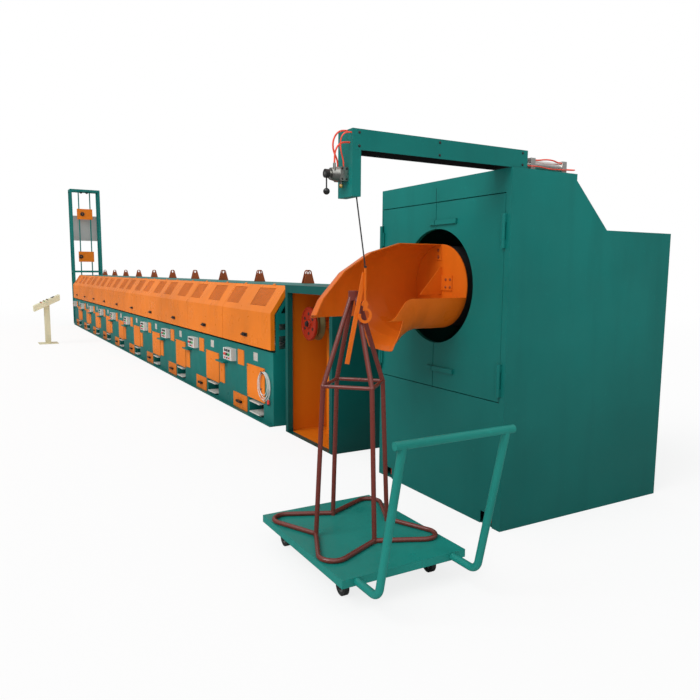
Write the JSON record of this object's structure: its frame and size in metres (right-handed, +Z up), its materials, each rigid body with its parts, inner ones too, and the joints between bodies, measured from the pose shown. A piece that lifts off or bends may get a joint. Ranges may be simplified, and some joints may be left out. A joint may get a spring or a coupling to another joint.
{
  "type": "wire drawing machine",
  "caption": "Straight line of drawing blocks under hinged hoods, with a pulley box, coiler cabinet with laying chute, hoist beam, coil trolley, entry tower and control desk.",
  "frame": {"origin": "on the floor under the last drawing block's axis, in the middle of the line's depth", "axes": "+X along the line towards the coiler, +Y away from the operator, +Z up"},
  "size_m": [20.831, 3.393, 4.3],
  "materials": {
    "orange_paint": "semi-gloss enamel",
    "green_paint": "semi-gloss enamel",
    "grey_metal": "satin",
    "grey_cable": "matt",
    "red_plastic": "matt",
    "polished_steel": "ground",
    "control_panel": "matt",
    "cream_paint": "semi-gloss enamel",
    "dark_metal": "oiled",
    "red_paint": "gloss enamel",
    "olive_metal": "worn",
    "brown_paint": "red oxide primer",
    "grey_sheet": "matt",
    "black_plastic": "gloss",
    "red_hose": "gloss",
    "wheel_rubber": "matt"
  },
  "bodies": {
    "root": {"access_doors": "orange_paint", "air_cylinder": "grey_metal", "base_entry": "green_paint", "base_exit": "green_paint", "beam": "green_paint", "beam_head": "green_paint", "cabinet": "green_paint", "cable_coil": "grey_cable", "cable_plug": "red_plastic", "capstans": "polished_steel", "chute": "orange_paint", "chute_root": "orange_paint", "control_boxes": "control_panel", "desk": "cream_paint", "drawers": "orange_paint", "drum": "dark_metal", "drum_pedestal": "dark_metal", "feet": "red_paint", "fixed_forks": "dark_metal", "guide_bar": "orange_paint", "hook": "orange_paint", "hose_head": "red_hose", "hose_rear": "red_hose", "housing_entry": "green_paint", "housing_exit": "green_paint", "lifting_lugs": "dark_metal", "pedals": "polished_steel", "pulley_box": "green_paint", "push_handle": "green_paint", "rope": "dark_metal", "stand_legs": "brown_paint", "stand_ring": "brown_paint", "tower": "green_paint", "tower_sheet": "grey_sheet", "trolley_deck": "green_paint", "valve": "polished_steel"},
    "hood_01": {"hood_01": "orange_paint"},
    "hood_02": {"hood_02": "orange_paint"},
    "hood_03": {"hood_03": "orange_paint"},
    "hood_04": {"hood_04": "orange_paint"},
    "hood_05": {"hood_05": "orange_paint"},
    "hood_06": {"hood_06": "orange_paint"},
    "hood_07": {"hood_07": "orange_paint"},
    "hood_08": {"hood_08": "orange_paint"},
    "hood_09": {"hood_09": "orange_paint"},
    "hood_10": {"hood_10": "orange_paint"},
    "door_left": {"door_left": "green_paint"},
    "door_right": {"door_right": "green_paint"},
    "sheave": {"sheave": "olive_metal", "sheave_face": "red_paint"},
    "carriage_upper": {"carriage_upper": "orange_paint"},
    "carriage_lower": {"carriage_lower": "orange_paint"},
    "valve_lever": {"valve_lever": "black_plastic"},
    "caster_fork_front_right": {"caster_fork_front_right": "dark_metal"},
    "caster_fork_back_right": {"caster_fork_back_right": "dark_metal"},
    "caster_wheel_front_right": {"caster_wheel_front_right": "wheel_rubber"},
    "caster_wheel_back_right": {"caster_wheel_back_right": "wheel_rubber"},
    "caster_wheel_front_left": {"caster_wheel_front_left": "wheel_rubber"},
    "caster_wheel_back_left": {"caster_wheel_back_left": "wheel_rubber"}
  },
  "joints": [
    {"name": "hood_01_hinge", "type": "hinge", "parent": "root", "child": "hood_01", "pos_m": [-14.4, -0.27, 1.584], "axis": [-1, 0, 0], "range_deg": [0, 75]},
    {"name": "hood_02_hinge", "type": "hinge", "parent": "root", "child": "hood_02", "pos_m": [-12.8, -0.27, 1.584], "axis": [-1, 0, 0], "range_deg": [0, 75]},
    {"name": "hood_03_hinge", "type": "hinge", "parent": "root", "child": "hood_03", "pos_m": [-11.2, -0.27, 1.584], "axis": [-1, 0, 0], "range_deg": [0, 75]},
    {"name": "hood_04_hinge", "type": "hinge", "parent": "root", "child": "hood_04", "pos_m": [-9.6, -0.27, 1.584], "axis": [-1, 0, 0], "range_deg": [0, 75]},
    {"name": "hood_05_hinge", "type": "hinge", "parent": "root", "child": "hood_05", "pos_m": [-8, -0.27, 1.584], "axis": [-1, 0, 0], "range_deg": [0, 75]},
    {"name": "hood_06_hinge", "type": "hinge", "parent": "root", "child": "hood_06", "pos_m": [-6.4, -0.27, 1.584], "axis": [-1, 0, 0], "range_deg": [0, 75]},
    {"name": "hood_07_hinge", "type": "hinge", "parent": "root", "child": "hood_07", "pos_m": [-4.8, -0.27, 1.584], "axis": [-1, 0, 0], "range_deg": [0, 75]},
    {"name": "hood_08_hinge", "type": "hinge", "parent": "root", "child": "hood_08", "pos_m": [-3.2, -0.27, 1.584], "axis": [-1, 0, 0], "range_deg": [0, 75]},
    {"name": "hood_09_hinge", "type": "hinge", "parent": "root", "child": "hood_09", "pos_m": [-1.6, -0.27, 1.584], "axis": [-1, 0, 0], "range_deg": [0, 75]},
    {"name": "hood_10_hinge", "type": "hinge", "parent": "root", "child": "hood_10", "pos_m": [0, -0.27, 1.584], "axis": [-1, 0, 0], "range_deg": [0, 75]},
    {"name": "door_left_hinge", "type": "hinge", "parent": "root", "child": "door_left", "pos_m": [2.81, -0.334, 1.5], "axis": [0, 0, -1], "range_deg": [0, 105]},
    {"name": "door_right_hinge", "type": "hinge", "parent": "root", "child": "door_right", "pos_m": [4.25, -0.334, 1.5], "axis": [0, 0, 1], "range_deg": [0, 105]},
    {"name": "sheave_spin", "type": "hinge", "parent": "root", "child": "sheave", "pos_m": [1.383, -0.25, 1.2], "axis": [0, 1, 0], "continuous": true},
    {"name": "carriage_upper_slide", "type": "slide", "parent": "root", "child": "carriage_upper", "axis": [0, 0, 1], "range_m": [-0.7, 0.4]},
    {"name": "carriage_lower_slide", "type": "slide", "parent": "root", "child": "carriage_lower", "axis": [0, 0, 1], "range_m": [-0.2, 0.25]},
    {"name": "valve_lever_pivot", "type": "hinge", "parent": "root", "child": "valve_lever", "pos_m": [4.2095, -1.6, 2.272], "axis": [0, 1, 0], "range_deg": [-45, 45]},
    {"name": "caster_swivel_front_right", "type": "hinge", "parent": "root", "child": "caster_fork_front_right", "pos_m": [4.575, -1.67, 0.13], "axis": [0, 0, 1], "continuous": true},
    {"name": "caster_roll_front_right", "type": "hinge", "parent": "caster_fork_front_right", "child": "caster_wheel_front_right", "pos_m": [4.537, -1.67, 0.05], "axis": [0, 1, 0], "continuous": true},
    {"name": "caster_swivel_back_right", "type": "hinge", "parent": "root", "child": "caster_fork_back_right", "pos_m": [4.575, -1.09, 0.13], "axis": [0, 0, 1], "continuous": true},
    {"name": "caster_roll_back_right", "type": "hinge", "parent": "caster_fork_back_right", "child": "caster_wheel_back_right", "pos_m": [4.537, -1.09, 0.05], "axis": [0, 1, 0], "continuous": true},
    {"name": "caster_roll_front_left", "type": "hinge", "parent": "root", "child": "caster_wheel_front_left", "pos_m": [3.802, -1.67, 0.05], "axis": [0, 1, 0], "continuous": true},
    {"name": "caster_roll_back_left", "type": "hinge", "parent": "root", "child": "caster_wheel_back_left", "pos_m": [3.802, -1.09, 0.05], "axis": [0, 1, 0], "continuous": true}
  ]
}
